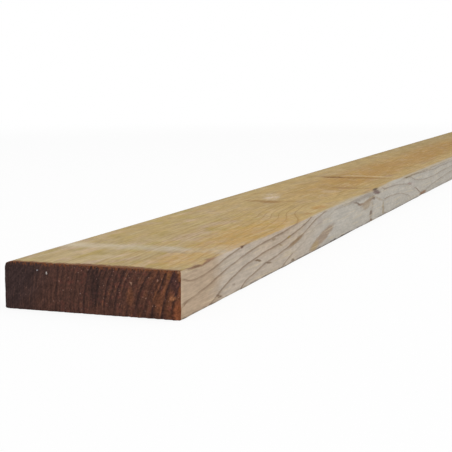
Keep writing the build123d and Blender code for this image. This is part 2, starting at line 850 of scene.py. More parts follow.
@dataclass(frozen=True)
class EndStainAndLitEdge:
    """The last millimetres before the ends: stained on the wide faces, and pale on the narrow ones with
    frayed fibre and a painted highlight.
    """

    stain: Colour = (112, 72, 48)
    lit_cut_edge: Colour = (192, 168, 140)
    splinter: Cloud = Cloud((2.6, 9.0, 2.6), 3.0, 0.6)
    sway: float = 11.0
    deeper_left: Ramp = Ramp(40.0, 70.0, 0.0, 3.5)  # across
    deeper_right: Ramp = Ramp(135.0, 110.0)  # across
    soaked: Ramp = Ramp(2.0, 7.5, 0.95, 0.0)  # from the end, as the next is
    lit_paled: Ramp = Ramp(2.0, 6.5, 0.5, 0.0)

    def lay(self, sheet: WoodSheet, edge: Socket, colour: Socket) -> Socket:
        """Lays the stain, and the pale edge with its painted highlight, over the planed faces' colour.

        Args:
            sheet: The material's nodes.
            edge: 0 on the wide faces and 1 on the narrow ones.
            colour: The colour so far.

        Returns:
            The colour with the stain and the pale edge.
        """
        from_end = sheet.maths("MINIMUM", sheet.along, sheet.maths("SUBTRACT", LENGTH, sheet.along))
        from_end = sheet.shift(from_end, sheet.level(self.splinter), self.sway)
        deeper = sheet.share((sheet.across, self.deeper_left), (sheet.across, self.deeper_right))
        soaked = sheet.ease(sheet.maths("SUBTRACT", from_end, deeper), self.soaked)
        colour = sheet.tint(colour, sheet.times(soaked, sheet.rest(edge)), self.stain)
        # The pale edge of the narrow faces: frayed fibre with a painted highlight
        return sheet.tint(colour, sheet.times(sheet.ease(from_end, self.lit_paled), edge), self.lit_cut_edge)


@dataclass(frozen=True)
class PlanedFinish:
    """The planed faces: their colours, with ring lines, marks and fibres."""

    marks: tuple[Mark, ...]
    lines: RingLines = RingLines()
    wide: WideFaces = WideFaces()
    narrow: NarrowFaces = NarrowFaces()
    end_stain_and_lit_edge: EndStainAndLitEdge = EndStainAndLitEdge()
    surface: Surface = Surface(roughness=0.75, specular=0.05, relief_depth=0.16)
    round_arris: Ramp = Ramp(0.12, 0.55)  # from a wide face's colour to a narrow one's
    fibre_glint: Colour = (204, 188, 156)
    fibre: Cloud = Cloud((1.2, 36.0, 1.2), 3.0, 0.6)
    fleck: Cloud = Cloud((2.4, 9.0, 2.4), 3.0, 0.6)
    fibre_shade: Ramp = Ramp(0.25, 0.75, 0.91, 1.09)
    glint: Cloud = Cloud((1.8, 75.0, 1.8), 2.0, 0.5)
    glint_share: Ramp = Ramp(0.56, 0.7, 0.0, 0.45)
    glint_off_lines: Ramp = Ramp(0.0, 0.6, 1.0, 0.1)
    wobble: Cloud = Cloud((7.0, 16.0, 7.0))
    mark_sway: Point = (3.0, 14.0, 3.0)
    crumble: Cloud = Cloud((4.5, 13.0, 4.5), 3.0, 0.65)
    crumbled: Ramp = Ramp(0.42, 0.58)
    line_relief: float = 0.5

    def material(self) -> bpy.types.Material:
        """Makes the material.

        Returns:
            The material.
        """
        sheet = WoodSheet("planed_timber")
        edge = sheet.ease(sheet.attribute(EDGE), self.round_arris)
        line = self.lines.draw(sheet, edge)
        colour = sheet.blend(edge, self.wide.colour(sheet, line), self.narrow.colour(sheet, line))
        colour = self.marked(sheet, colour)
        colour = self.end_stain_and_lit_edge.lay(sheet, edge, colour)
        # Pale fibres with a painted glint on them
        glint = (sheet.level(self.glint), self.glint_share)
        colour = sheet.wash(colour, self.fibre_glint, glint, (line, self.glint_off_lines))
        fibre = sheet.level(self.fibre)
        for grain in (fibre, sheet.level(self.fleck)):
            colour = sheet.shade(colour, sheet.ease(grain, self.fibre_shade))
        relief = sheet.maths("MULTIPLY_ADD", line, self.line_relief, fibre)
        return sheet.finish(colour, self.surface, relief)

    def marked(self, sheet: WoodSheet, colour: Socket) -> Socket:
        """Lays the knots, flecks and stains over a colour.

        Args:
            sheet: The material's nodes.
            colour: The colour so far.

        Returns:
            The colour with the marks.
        """
        swayed = sheet.sway(self.wobble, self.mark_sway)
        grain = sheet.ease(sheet.level(self.crumble), self.crumbled)
        for mark in self.marks:
            share = sheet.spot(swayed, mark)
            if mark.broken:
                whole = sheet.maths("MULTIPLY_ADD", grain, mark.broken, 1.0 - mark.broken)
                share = sheet.times(share, whole)
            colour = sheet.tint(colour, share, mark.colour)
        return colour


@dataclass(frozen=True)
class SawnFinish:
    """The sawn ends, which took up the most preservative and are dark brown.

    A ramp's name ends in what it goes by: side is across.
    """

    marks: tuple[Mark, ...]
    surface: Surface = Surface(roughness=0.85, specular=0.1, relief_depth=0.5)
    dark: Colour = (64, 48, 46)
    brown: Colour = (87, 59, 50)
    warm: Colour = (113, 71, 50)
    orange: Colour = (148, 94, 60)
    ring_line: Colour = (50, 36, 35)
    red: Colour = (102, 56, 48)
    speck: Colour = (176, 140, 126)
    frayed: Colour = (128, 76, 46)
    wander: Cloud = Cloud((9.0, 9.0, 14.0))
    streak: Cloud = Cloud((1.6, 6.0, 12.0), 3.0, 0.65)
    fuzz: Cloud = Cloud((1.3, 6.0, 2.0), 3.0, 0.7)
    saw: Cloud = Cloud((3.0, 6.0, 30.0), 2.0, 0.6)
    mottle: Cloud = Cloud((6.0, 9.0, 4.5), 3.0, 0.6)
    ragged: Cloud = Cloud((2.4, 9.0, 2.4), 3.0, 0.6)
    tooth: Cloud = Cloud((1.7, 9.0, 3.5), 2.0, 0.6)
    side_slant: float = -0.45  # the colours change across along a line that leans to the right
    side_shift: float = 8.5
    side_wander: float = 26.0
    side_streaks: float = 18.0
    brown_side: Ramp = Ramp(12.0, 50.0)
    warm_side: Ramp = Ramp(96.0, 152.0)
    red_mottle: Ramp = Ramp(0.5, 0.66, 0.0, 0.5)
    red_side: Ramp = Ramp(30.0, 62.0)
    bright_streak: Ramp = Ramp(0.54, 0.74)
    bright_side: Ramp = Ramp(25.0, 140.0, 0.1, 0.7)
    line_stops: Stops = ((0.0, 0.6), (0.14, 0.0), (0.45, 0.05), (0.66, 0.4), (0.88, 1.0), (1.0, 0.9))
    line_side: Ramp = Ramp(20.0, 60.0, 0.25, 0.85)
    line_sway: float = 0.3  # of a ring
    even_rings: Ramp = Ramp(10.6, 9.0)  # by ring count; inside it all years are alike
    weak_years: Ramp = Ramp(0.0, 1.0, 0.35, 1.0)
    mark_sway: Point = (5.0, 0.0, 5.0)
    shade_mottle: Ramp = Ramp(0.3, 0.7, 0.86, 1.14)
    shade_streak: Ramp = Ramp(0.3, 0.7, 0.8, 1.2)
    shade_fuzz: Ramp = Ramp(0.2, 0.8, -0.5, 0.5)
    fuzz_side: Ramp = Ramp(20.0, 60.0, 0.7, 1.0)
    shade_saw: Ramp = Ramp(0.35, 0.65, -0.14, 0.14)
    saw_side: Ramp = Ramp(50.0, 25.0)
    ring_width: float = 4.5  # about a ring's width, for streaks that follow the rings
    lean: float = 0.03  # rings a millimetre of height, by which the rings lean to the right
    lean_side: Ramp = Ramp(50.0, 105.0)
    upright_side: Ramp = Ramp(146.0, 128.0)
    speck_cell: float = 2.7  # about one speck in each cell of this size
    speck_stretch: float = 10.0  # how much longer a cell is along
    speck_size: float = 0.6
    speck_core: float = 0.3  # the share of its size that a speck fills evenly
    speck_strength: float = 0.6
    speck_chance: Ramp = Ramp(0.3, 1.0)
    speck_side: Ramp = Ramp(20.0, 60.0, 0.4, 1.0)
    fray_tooth: Ramp = Ramp(0.38, 0.62, 0.0, 3.2)
    fray_fade: Ramp = Ramp(1.0, 3.8, 0.75, 0.0)  # from the rim

    def material(self) -> bpy.types.Material:
        """Makes the material.

        Returns:
            The material.
        """
        sheet = WoodSheet("sawn_end")
        grown = sheet.join(sheet.times(self.leaning(sheet), self.ring_width), sheet.along, sheet.up)
        streak = sheet.level(self.streak, grown)
        fuzz = sheet.level(self.fuzz, grown)
        mottle = sheet.level(self.mottle)
        colour = self.ground(sheet, streak, mottle)
        ragged = sheet.sway(self.ragged, self.mark_sway)
        for mark in self.marks:
            colour = sheet.tint(colour, sheet.spot(ragged, mark), mark.colour)
        colour = sheet.shade(colour, sheet.ease(mottle, self.shade_mottle))
        colour = sheet.shade(colour, sheet.ease(streak, self.shade_streak))
        for level, ramp, side in (
            (fuzz, self.shade_fuzz, self.fuzz_side),
            (self.saw_marks(sheet), self.shade_saw, self.saw_side),
        ):
            shade = sheet.share((level, ramp), (sheet.across, side))
            colour = sheet.shade(colour, sheet.maths("ADD", shade, 1.0))
        colour = sheet.tint(colour, self.specks(sheet), self.speck)
        colour = sheet.tint(colour, self.fray(sheet), self.frayed)
        return sheet.finish(colour, self.surface, fuzz)

    def ground(self, sheet: WoodSheet, streak: Socket, mottle: Socket) -> Socket:
        """Finds the wood's colour with its ring lines: dark on the left and warmer to the right.

        Args:
            sheet: The material's nodes.
            streak: The noise that follows the rings.
            mottle: The noise that doesn't.

        Returns:
            The colour.
        """
        across = sheet.across
        wander = sheet.level(self.wander)
        side = sheet.maths("ADD", across, self.side_shift)
        side = sheet.maths("MULTIPLY_ADD", sheet.up, self.side_slant, side)
        side = sheet.shift(sheet.shift(side, wander, self.side_wander), streak, self.side_streaks)
        colour = sheet.blend(sheet.ease(side, self.brown_side), linear(self.dark), linear(self.brown))
        colour = sheet.wash(colour, self.warm, (side, self.warm_side))
        colour = sheet.wash(colour, self.red, (mottle, self.red_mottle), (across, self.red_side))
        bright = (streak, self.bright_streak)
        colour = sheet.wash(colour, self.orange, bright, (across, self.bright_side))
        line = sheet.times(self.ring_lines(sheet, wander, streak), sheet.ease(across, self.line_side))
        return sheet.tint(colour, line, self.ring_line)

    def ring_lines(self, sheet: WoodSheet, wander: Socket, streak: Socket) -> Socket:
        """Draws the ring lines.

        Args:
            sheet: The material's nodes.
            wander: The slow noise that bends the lines.
            streak: The quick noise that roughens them.

        Returns:
            How dark the lines are, from 0 to 1.
        """
        ring = self.leaning(sheet)
        count = sheet.shift(sheet.shift(ring, wander, self.line_sway), streak, self.line_sway)
        lines = sheet.profile(sheet.maths("FRACT", count), self.line_stops)
        years = sheet.ease(sheet.pick(count), self.weak_years)
        return sheet.times(lines, sheet.maths("MAXIMUM", sheet.ease(ring, self.even_rings), years))

    def leaning(self, sheet: WoodSheet) -> Socket:
        """Counts the rings, which lean between the end's middle and its right side.

        Args:
            sheet: The material's nodes.

        Returns:
            The ring count.
        """
        tilt = sheet.maths("MULTIPLY_ADD", sheet.up, self.lean, -THICKNESS / 2 * self.lean)
        reach = sheet.share((sheet.across, self.lean_side), (sheet.across, self.upright_side))
        return sheet.maths("MULTIPLY_ADD", tilt, reach, sheet.attribute(RING))

    def saw_marks(self, sheet: WoodSheet) -> Socket:
        """Returns the noise of the saw's slanting marks."""
        slanted = sheet.join(sheet.maths("SUBTRACT", sheet.across, sheet.up), sheet.along, sheet.up)
        return sheet.level(self.saw, slanted)

    def specks(self, sheet: WoodSheet) -> Socket:
        """Scatters pale specks of dust and loose fibre.

        Args:
            sheet: The material's nodes.

        Returns:
            How far a speck covers the point, from 0 to 1.
        """
        scale = 1.0 / self.speck_cell
        size = self.speck_size * scale
        speck = Ramp(size * self.speck_core, size, self.speck_strength, 0.0)
        spread = sheet.vectors("MULTIPLY", sheet.place, (scale, scale / self.speck_stretch, scale))
        inputs = {"Vector": spread, "Scale": 1.0}
        cells = sheet.add("ShaderNodeTexVoronoi", inputs, feature="F1").outputs
        chance = (sheet.axes(cells["Color"])[0], self.speck_chance)
        return sheet.share((cells["Distance"], speck), chance, (sheet.across, self.speck_side))

    def fray(self, sheet: WoodSheet) -> Socket:
        """Finds the torn fibres, which are lighter, along the top and the right edge of the end.

        Args:
            sheet: The material's nodes.

        Returns:
            How far they cover the point, from 0 to 1.
        """
        top = sheet.maths("SUBTRACT", THICKNESS, sheet.up)
        near = sheet.maths("MINIMUM", top, sheet.maths("SUBTRACT", WIDTH, sheet.across))
        near = sheet.maths("ADD", near, sheet.ease(sheet.level(self.tooth), self.fray_tooth))
        return sheet.ease(near, self.fray_fade)


@dataclass(frozen=True)
class Plank:
    """The plank: one board with eased long edges, torn saw edges and a grain in slight relief."""

    rings: GrowthRings
    planed: PlanedFinish
    sawn: SawnFinish
    nicks: tuple[Nick, ...]
    node: str = NODE
    width: float = WIDTH
    length: float = LENGTH
    thickness: float = THICKNESS
    arris_radius: float = 1.5
    arris_segments: int = 4
    smooth_angle: float = 50.0  # degrees, the sharpest turn that is shaded smooth
    wide_cells: int = 92
    narrow_cells: int = 20
    rows: int = 360
    row_shares: tuple[float, ...] = (0.0, 0.02, 0.10, 0.66, 0.92, 0.98, 1.0)
    along_shares: tuple[float, ...] = (0.0, 0.003, 0.05, 0.46, 0.97, 0.997, 1.0)
    growth_step: float = 0.5  # for measuring how fast the ring count changes
    least_growth: float = 0.001  # rings a millimetre
    grain_depth: float = 0.22
    ridge_rise: Ramp = Ramp(0.55, 0.95)  # within a ring, up to the hard line that ends it
    ridge_fall: Ramp = Ramp(0.97, 1.0, 1.0, 0.0)
    finer_grain: Ramp = Ramp(11.0, 14.0, 1.0, 0.35)  # by ring count
    wave_depth: float = 0.06
    wave_lumps: Point = (9.0, 60.0, 9.0)
    nick_reach: float = 3.0  # across and up from a long edge
    saw_depth: float = 0.35
    saw_turn: Pair = (0.9, 0.5)  # radians of the saw's ripples for a millimetre across and up
    saw_share: float = 0.45  # of the ripples in the ends' relief; the rest is rough fibre
    saw_lumps: Point = (2.4, 1.0, 4.5)
    tear_depth: float = 1.1
    tear_pull: float = 0.4  # how far a torn edge is pulled in, as a share of how far it is torn back
    tear_lumps: Point = (3.1, 1.0, 3.1)
    tear_bias: float = 0.1  # makes torn places wider than whole ones
    tear_least: float = 0.45  # the depth of tears away from the top, as a share
    map_margin: float = 0.004
    map_split: float = 0.805  # the long faces lie below it in the layout, and the ends above it

    def build(self) -> bpy.types.Object:
        """Models the plank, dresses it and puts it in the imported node's place.

        Returns:
            The finished object.
        """
        shape = self.blank()
        self.cut_cells(shape)
        mesh = bpy.data.meshes.new("timber_plank")
        shape.to_mesh(mesh)
        shape.free()
        board = bpy.data.objects.new("timber_plank", mesh)
        bpy.context.scene.collection.objects.link(board)
        self.grade_rows(mesh)
        places = self.read_places(mesh)
        self.record_growth(mesh, places)
        self.mark_finishes(mesh)
        self.lay_out(mesh, places)
        self.shape_relief(mesh, places)
        for finish in (self.planed, self.sawn):
            mesh.materials.append(finish.material())
        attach(board, "root")
        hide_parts(self.node)
        return board

    def blank(self) -> bmesh.types.BMesh:
        """Makes the plain board, with its long edges rounded.

        Returns:
            The board.
        """
        shape = bmesh.new()
        bmesh.ops.create_cube(shape, size=1.0)
        sizes = Vector((self.width, self.length, self.thickness)) * MM
        bmesh.ops.scale(shape, vec=sizes, verts=shape.verts)
        bmesh.ops.translate(shape, vec=(0.0, 0.0, sizes.z / 2), verts=shape.verts)
        bmesh.ops.bevel(
            shape, geom=self.long_edges(shape), offset=self.arris_radius * MM, offset_type="OFFSET",
            affect="EDGES", segments=self.arris_segments, profile=0.5, material=-1,
        )
        return shape

    def long_edges(self, shape: bmesh.types.BMesh) -> list[bmesh.types.BMEdge]:
        """Returns the edges that run from end to end."""
        nearly_whole = self.length * MM * 0.99
        return [edge for edge in shape.edges if edge.calc_length() > nearly_whole]

    def cut_cells(self, shape: bmesh.types.BMesh) -> None:
        """Cuts the board into small cells, across, up and along.

        Args:
            shape: The board.
        """
        flat_width = self.width - 2 * self.arris_radius
        flat_height = self.thickness - 2 * self.arris_radius
        across = Vector((1.0, 0.0, 0.0))
        up = Vector((0.0, 0.0, 1.0))
        for direction, first, flat, cells in (
            (across, -flat_width / 2, flat_width, self.wide_cells),
            (up, self.arris_radius, flat_height, self.narrow_cells),
        ):
            for step in range(cells + 1):
                bmesh.ops.bisect_plane(
                    shape, geom=shape.verts[:] + shape.edges[:] + shape.faces[:], dist=WELD,
                    plane_co=direction * (first + flat * step / cells) * MM, plane_no=direction,
                )
        rows = self.long_edges(shape)
        bmesh.ops.subdivide_edges(shape, edges=rows, cuts=self.rows - 1, use_grid_fill=True)
        bmesh.ops.recalc_face_normals(shape, faces=shape.faces)

    def corner(self) -> np.ndarray:
        """Returns the way from the near lower left corner to the origin."""
        return np.array((self.width / 2, self.length / 2, 0.0))

    def read_places(self, mesh: bpy.types.Mesh) -> np.ndarray:
        """Returns the mesh's vertices as places, one row each."""
        return read_values(mesh.vertices, "co", np.float32, 3).astype(float) / MM + self.corner()

    def write_places(self, mesh: bpy.types.Mesh, places: np.ndarray) -> None:
        """Moves the mesh's vertices.

        Args:
            mesh: The plank's mesh.
            places: Their new places.
        """
        points = (places - self.corner()) * MM
        mesh.vertices.foreach_set("co", points.astype(np.float32).ravel())
        mesh.update()

    def grade_rows(self, mesh: bpy.types.Mesh) -> None:
        """Moves the rows along, so that they lie closest near the ends and through the knots.

        Args:
            mesh: The plank's mesh.
        """
        places = self.read_places(mesh)
        share = places[:, 1] / self.length
        places[:, 1] = np.interp(share, self.row_shares, self.along_shares) * self.length
        self.write_places(mesh, places)

    def outward(self, places: np.ndarray) -> tuple[np.ndarray, np.ndarray]:
        """Finds which way the rounded section faces.

        Args:
            places: Places on the plank.

        Returns:
            The way to each place from the nearest point of the section's inner rectangle, and that
            point, both across and up.
        """
        radius = self.arris_radius
        inner = np.stack((
            np.clip(places[:, 0], radius, self.width - radius),
            np.clip(places[:, 2], radius, self.thickness - radius),
        ), axis=1)
        return places[:, (0, 2)] - inner, inner

    def record_growth(self, mesh: bpy.types.Mesh, places: np.ndarray) -> None:
        """Records the ring count, how fast it changes, and which vertices are on the narrow faces.

        Args:
            mesh: The plank's mesh.
            places: Its vertices' places.
        """
        offset, _ = self.outward(places)
        angle = np.arctan2(np.abs(offset[:, 0]), np.abs(offset[:, 1])) / (math.pi / 2)
        count = self.rings.count(places)
        steps = self.ring_steps(places, count, offset)
        for name, values in ((RING, count), (STEP, steps), (EDGE, angle)):
            attribute = mesh.attributes.new(name, "FLOAT", "POINT")
            attribute.data.foreach_set("value", values.astype(np.float32))

    def ring_steps(self, places: np.ndarray, count: np.ndarray, offset: np.ndarray) -> np.ndarray:
        """Measures how fast the ring count changes over the long faces.

        Args:
            places: Places on the plank.
            count: The ring count at each of them.
            offset: Which way the section faces there, across and up.

        Returns:
            How many rings the face crosses in a millimetre at each place.
        """
        step = self.growth_step
        rise = [(self.rings.count(places + step * axis) - count) / step for axis in np.eye(3)]
        rise = np.stack(rise, axis=1)
        reach = np.maximum(np.linalg.norm(offset, axis=1), TINY)
        facing = np.stack((offset[:, 0] / reach, 0.0 * reach, offset[:, 1] / reach), axis=1)
        rise -= facing * np.sum(rise * facing, axis=1)[:, None]
        return np.maximum(np.linalg.norm(rise, axis=1), self.least_growth)

    def mark_finishes(self, mesh: bpy.types.Mesh) -> None:
        """Gives the two ends the sawn finish and the long faces the planed one, with smooth arrises.

        Args:
            mesh: The plank's mesh.
        """
        facing = np.abs(read_values(mesh.polygons, "normal", np.float32, 3))
        ends = facing[:, 1] > np.maximum(facing[:, 0], facing[:, 2])
        finishes = np.where(ends, Finish.SAWN.value, Finish.PLANED.value)
        mesh.polygons.foreach_set("material_index", finishes.astype(np.int32))
        mesh.polygons.foreach_set("use_smooth", np.ones(len(mesh.polygons), bool))
        mesh.set_sharp_from_angle(angle=math.radians(self.smooth_angle))

    def lay_out(self, mesh: bpy.types.Mesh, places: np.ndarray) -> None:
        """Lays the surface out flat: the long faces unrolled in one sheet, and the two ends beside it.

        Args:
            mesh: The plank's mesh.
            places: Its vertices' places.
        """
        spots = places[read_values(mesh.loops, "vertex_index", np.int32)]
        sizes = read_values(mesh.polygons, "loop_total", np.int32)
        finishes = read_values(mesh.polygons, "material_index", np.int32)
        owner = np.repeat(np.arange(len(sizes)), sizes)
        sawn = (finishes == Finish.SAWN.value)[owner]
        layout = np.where(sawn[:, None], self.end_layout(spots), self.long_layout(spots, owner))
        layer = mesh.uv_layers.new(name=BAKE_MAP)
        layer.uv.foreach_set("vector", layout.astype(np.float32).ravel())

    def long_layout(self, spots: np.ndarray, owner: np.ndarray) -> np.ndarray:
        """Unrolls the long faces, and keeps each face at the seam whole.

        Args:
            spots: The place of each face corner.
            owner: The face that each corner belongs to.

        Returns:
            Where each corner lies in the layout.
        """
        turned, whole = self.girth(spots)
        lowest = np.full(owner[-1] + 1, np.inf)
        highest = -lowest
        np.minimum.at(lowest, owner, turned)
        np.maximum.at(highest, owner, turned)
        split = (highest - lowest)[owner] > whole / 2
        turned = np.where(split & (turned < whole / 2), turned + whole, turned)
        margin = self.map_margin
        sideways = margin + (1.0 - 2 * margin) * spots[:, 1] / self.length
        upwards = margin + (self.map_split - 2 * margin) * turned / whole
        return np.stack((sideways, upwards), axis=1)

    def end_layout(self, spots: np.ndarray) -> np.ndarray:
        """Puts the two ends side by side, each as it looks from outside.

        Args:
            spots: The place of each face corner.

        Returns:
            Where each corner lies in the layout.
        """
        margin = self.map_margin
        far = spots[:, 1] > self.length / 2
        share = spots[:, 0] / self.width
        side = np.where(far, 1.0 - share, share)
        sideways = np.where(far, 0.5 + margin, margin) + (0.5 - 2 * margin) * side
        room = 1.0 - self.map_split - 2 * margin
        upwards = self.map_split + margin + room * spots[:, 2] / self.thickness
        return np.stack((sideways, upwards), axis=1)

    def girth(self, places: np.ndarray) -> tuple[np.ndarray, float]:
        """Measures round the section, from the underside's left, past the right edge and over the top.

        Args:
            places: Places on the long faces.

        Returns:
            The distance round to each place, and once round the whole section.
        """
        slack = 1e-6  # radians
        offset, inner = self.outward(places)
        radius = self.arris_radius
        turn = np.mod(np.arctan2(offset[:, 1], offset[:, 0]) + math.pi / 2, 2 * math.pi)
        turn = np.where(turn > 2 * math.pi - slack, 0.0, turn)
        flat = 2 * (self.width - 2 * radius + self.thickness - 2 * radius)
        first = (inner[:, 0] - radius) + (inner[:, 1] - radius)
        straight = np.where(turn < math.pi / 2 + slack, first, flat - first)
        return straight + radius * turn, flat + 2 * math.pi * radius

    def shape_relief(self, mesh: bpy.types.Mesh, places: np.ndarray) -> None:
        """Wears the surface down a little: soft grain, sunk knots, dented edges and torn saw cuts.

        Args:
            mesh: The plank's mesh.
            places: Its vertices' places.
        """
        offset, _ = self.outward(places)
        reach = np.maximum(np.linalg.norm(offset, axis=1), TINY)
        on_skin = reach > self.arris_radius - SKIN
        facing = np.where(on_skin[:, None], offset / reach[:, None], 0.0)
        depth = self.grain_relief(mesh) + self.wave_depth * (1.0 + noise_at(places, self.wave_lumps))
        for mark in self.planed.marks:
            depth += mark.sunk * mark.share(places)
        for nick in self.nicks:
            depth += self.nick_relief(nick, places)
        depth = np.maximum(depth, 0.0)
        moved = places.copy()
        moved[:, 0] -= facing[:, 0] * depth
        moved[:, 2] -= facing[:, 1] * depth
        self.tear_ends(moved, places, facing, on_skin)
        self.write_places(mesh, moved)

    def grain_relief(self, mesh: bpy.types.Mesh) -> np.ndarray:
        """Finds how far the soft early wood has sunk between the ring lines.

        Args:
            mesh: The plank's mesh.

        Returns:
            The depth at each vertex.
        """
        count = read_values(mesh.attributes[RING].data, "value", np.float32)
        part = np.mod(count, 1.0)
        ridge = self.ridge_rise.at(part) * self.ridge_fall.at(part)
        return self.grain_depth * (1.0 - ridge) * self.finer_grain.at(count)

    def nick_relief(self, nick: Nick, places: np.ndarray) -> np.ndarray:
        """Finds how far a dent goes in.

        Args:
            nick: The dent.
            places: Places on the plank.

        Returns:
            The depth at each of them.
        """
        side, level = nick.arris.value
        across = places[:, 0] - self.width / 2 * (1 + side)
        up = places[:, 2] - self.thickness / 2 * (1 + level)
        away = np.hypot(across, up) / self.nick_reach
        along = (places[:, 1] - nick.along) / nick.reach
        return nick.depth * np.exp(-away ** 2 - along ** 2)

    def tear_ends(
        self, moved: np.ndarray, places: np.ndarray, facing: np.ndarray, on_skin: np.ndarray
    ) -> None:
        """Roughens both ends: the saw's ripples over the face and torn fibres round its edge.

        Args:
            moved: The places to change.
            places: The places as they were cut.
            facing: Which way the section faces at each place.
            on_skin: Which places are on the long faces.
        """
        for end, inward in ((0.0, 1.0), (self.length, -1.0)):
            cut = np.abs(places[:, 1] - end) < SKIN
            spots = places[cut]
            ripple = 0.5 + 0.5 * np.sin(spots[:, (0, 2)] @ np.array(self.saw_turn))
            rough = 0.5 + 0.5 * noise_at(spots, self.saw_lumps)
            relief = self.saw_share * ripple + (1.0 - self.saw_share) * rough
            moved[cut, 1] += inward * self.saw_depth * relief
            rim = cut & on_skin
            torn = np.clip(noise_at(places[rim], self.tear_lumps) + self.tear_bias, 0.0, 1.0)
            upward = np.clip(facing[rim, 1], 0.0, 1.0)
            torn *= self.tear_depth * (self.tear_least + (1.0 - self.tear_least) * upward)
            moved[rim, 1] += inward * torn
            moved[rim, 0] -= facing[rim, 0] * self.tear_pull * torn
            moved[rim, 2] -= facing[rim, 1] * self.tear_pull * torn


@dataclass(frozen=True)
class Studio:
    """The plain set: a pale floor, a white surround, soft light and the photograph's viewpoint."""

    eye: Point = (403.2, -2004.5, 184.3)  # from the middle of the plank's underside
    turn: float = 19.985  # degrees to the left of straight along the plank
    dip: float = 7.385  # degrees below level
    roll: float = -0.115
    lens: float = 94.26
    sensor: float = 36.0
    floor_size: float = 40.0  # metres
    floor_drop: float = 0.03
    floor_colour: float = 0.92
    glow: Ramp = Ramp(1.3, 2.6, 0.88, 1.0)  # the floor's share of white, by metres from its middle
    sky: float = 0.70
    key_size: float = 3.2  # metres
    key_place: Point = (1.3, -1.2, 2.9)  # metres
    key_aim: Point = (0.0, -0.5, 0.0)  # metres
    key_power: float = 44.0

    def build(self) -> bpy.types.Object:
        """Sets the floor, the light and the camera.

        Returns:
            The floor.
        """
        scene = bpy.context.scene
        scene.view_settings.view_transform = "Standard"
        floor = self.lay_floor(scene)
        self.light_sky(scene)
        self.hang_key(scene)
        self.place_camera(scene)
        return floor

    def lay_floor(self, scene: bpy.types.Scene) -> bpy.types.Object:
        """Lays a pale floor that looks white and keeps the plank's shadow.

        Args:
            scene: The scene.

        Returns:
            The floor.
        """
        shape = bmesh.new()
        bmesh.ops.create_grid(shape, x_segments=1, y_segments=1, size=self.floor_size / 2)
        bmesh.ops.translate(shape, vec=(0.0, 0.0, -self.floor_drop * MM), verts=shape.verts)
        mesh = bpy.data.meshes.new("floor")
        shape.to_mesh(mesh)
        shape.free()
        floor = bpy.data.objects.new("floor", mesh)
        scene.collection.objects.link(floor)
        sheet = NodeSheet(bpy.data.materials.new("pale_floor"))
        colour = (self.floor_colour, self.floor_colour, self.floor_colour, 1.0)
        diffuse = sheet.add("ShaderNodeBsdfDiffuse", {"Color": colour})
        white = sheet.add("ShaderNodeEmission", {"Color": WHITE, "Strength": 1.0})
        away = sheet.length(sheet.add("ShaderNodeTexCoord").outputs["Object"])
        share = sheet.times(sheet.seen(), sheet.ease(away, self.glow))
        shaders = {0: share, 1: diffuse.outputs[0], 2: white.outputs[0]}
        sheet.end(sheet.add("ShaderNodeMixShader", shaders))
        mesh.materials.append(sheet.owner)
        return floor

    def light_sky(self, scene: bpy.types.Scene) -> None:
        """Surrounds the set with soft light that looks white.

        Args:
            scene: The scene.
        """
        scene.world = bpy.data.worlds.new("soft_surround")
        sheet = NodeSheet(scene.world)
        level = sheet.add("ShaderNodeMapRange", {"Value": sheet.seen(), 3: self.sky, 4: 1.0})
        light = sheet.add("ShaderNodeBackground", {"Color": WHITE, "Strength": level.outputs[0]})
        sheet.end(light, "ShaderNodeOutputWorld")

    def hang_key(self, scene: bpy.types.Scene) -> None:
        """Hangs one large soft lamp above the near right of the plank.

        Args:
            scene: The scene.
        """
        light = bpy.data.lights.new("key", "AREA")
        light.shape = "SQUARE"
        light.size = self.key_size
        light.energy = self.key_power
        lamp = bpy.data.objects.new("key", light)
        lamp.location = self.key_place
        aim = Vector(self.key_aim) - lamp.location
        lamp.rotation_euler = aim.to_track_quat("-Z", "Y").to_euler()
        scene.collection.objects.link(lamp)

    def place_camera(self, scene: bpy.types.Scene) -> None:
        """Puts the camera at the photograph's viewpoint.

        Args:
            scene: The scene.
        """
        camera = bpy.data.cameras.new("camera")
        camera.lens = self.lens
        camera.sensor_width = self.sensor
        holder = bpy.data.objects.new("camera", camera)
        aim = Euler((math.radians(90.0 - self.dip), 0.0, math.radians(self.turn))).to_matrix()
        tilt = Matrix.Rotation(math.radians(self.roll), 3, "Z")
        holder.rotation_euler = (aim @ tilt).to_euler()
        holder.location = Vector(self.eye) * MM
        scene.collection.objects.link(holder)
        scene.camera = holder


PITH = tuple(PithStation(*row) for row in (
    # It swings down from the near end
    (-30.0, 197.0, 16.0), (2.0, 192.8, 6.4), (7.0, 192.2, 3.2), (14.0, 190.9, -0.7),
    (22.0, 188.9, -4.5), (31.0, 186.9, -7.2), (42.0, 185.3, -8.4), (52.0, 184.6, -8.2),
    # It comes up to the right edge
    (60.0, 184.5, -7.5), (105.0, 180.6, -5.0), (150.0, 177.0, -3.0), (206.0, 173.2, -2.7),
    (255.0, 170.8, -3.0), (300.0, 166.6, -1.5), (330.0, 165.0, 1.5), (350.0, 160.5, 3.5),
    (370.0, 155.0, 6.0), (400.0, 151.0, 8.6), (420.0, 149.5, 9.8), (450.0, 147.0, 14.5),
    # It runs beside the edge through the whorl
    (490.0, 147.0, 15.0), (540.0, 158.0, 13.0), (590.0, 165.0, 13.0), (646.0, 166.5, 13.0),
    (680.0, 170.0, 12.5), (694.0, 177.6, 12.6), (741.0, 175.5, 9.0), (782.0, 175.8, 8.1),
    (823.0, 176.6, 6.8), (851.0, 177.6, 5.5), (875.0, 178.6, 4.8),
    # It passes the smaller whorl and leaves the edge
    (905.0, 181.5, 0.5), (940.0, 185.0, 2.0), (967.0, 185.8, 2.0), (1000.0, 185.0, 0.0),
    (1056.0, 181.6, -5.6), (1110.0, 179.0, -6.6), (1220.0, 174.4, -9.4),
    # It goes on to the far end
    (1500.0, 180.0, -5.0), (1800.0, 190.0, 0.0), (2100.0, 185.0, -8.0), (2400.0, 178.0, -4.0),
))

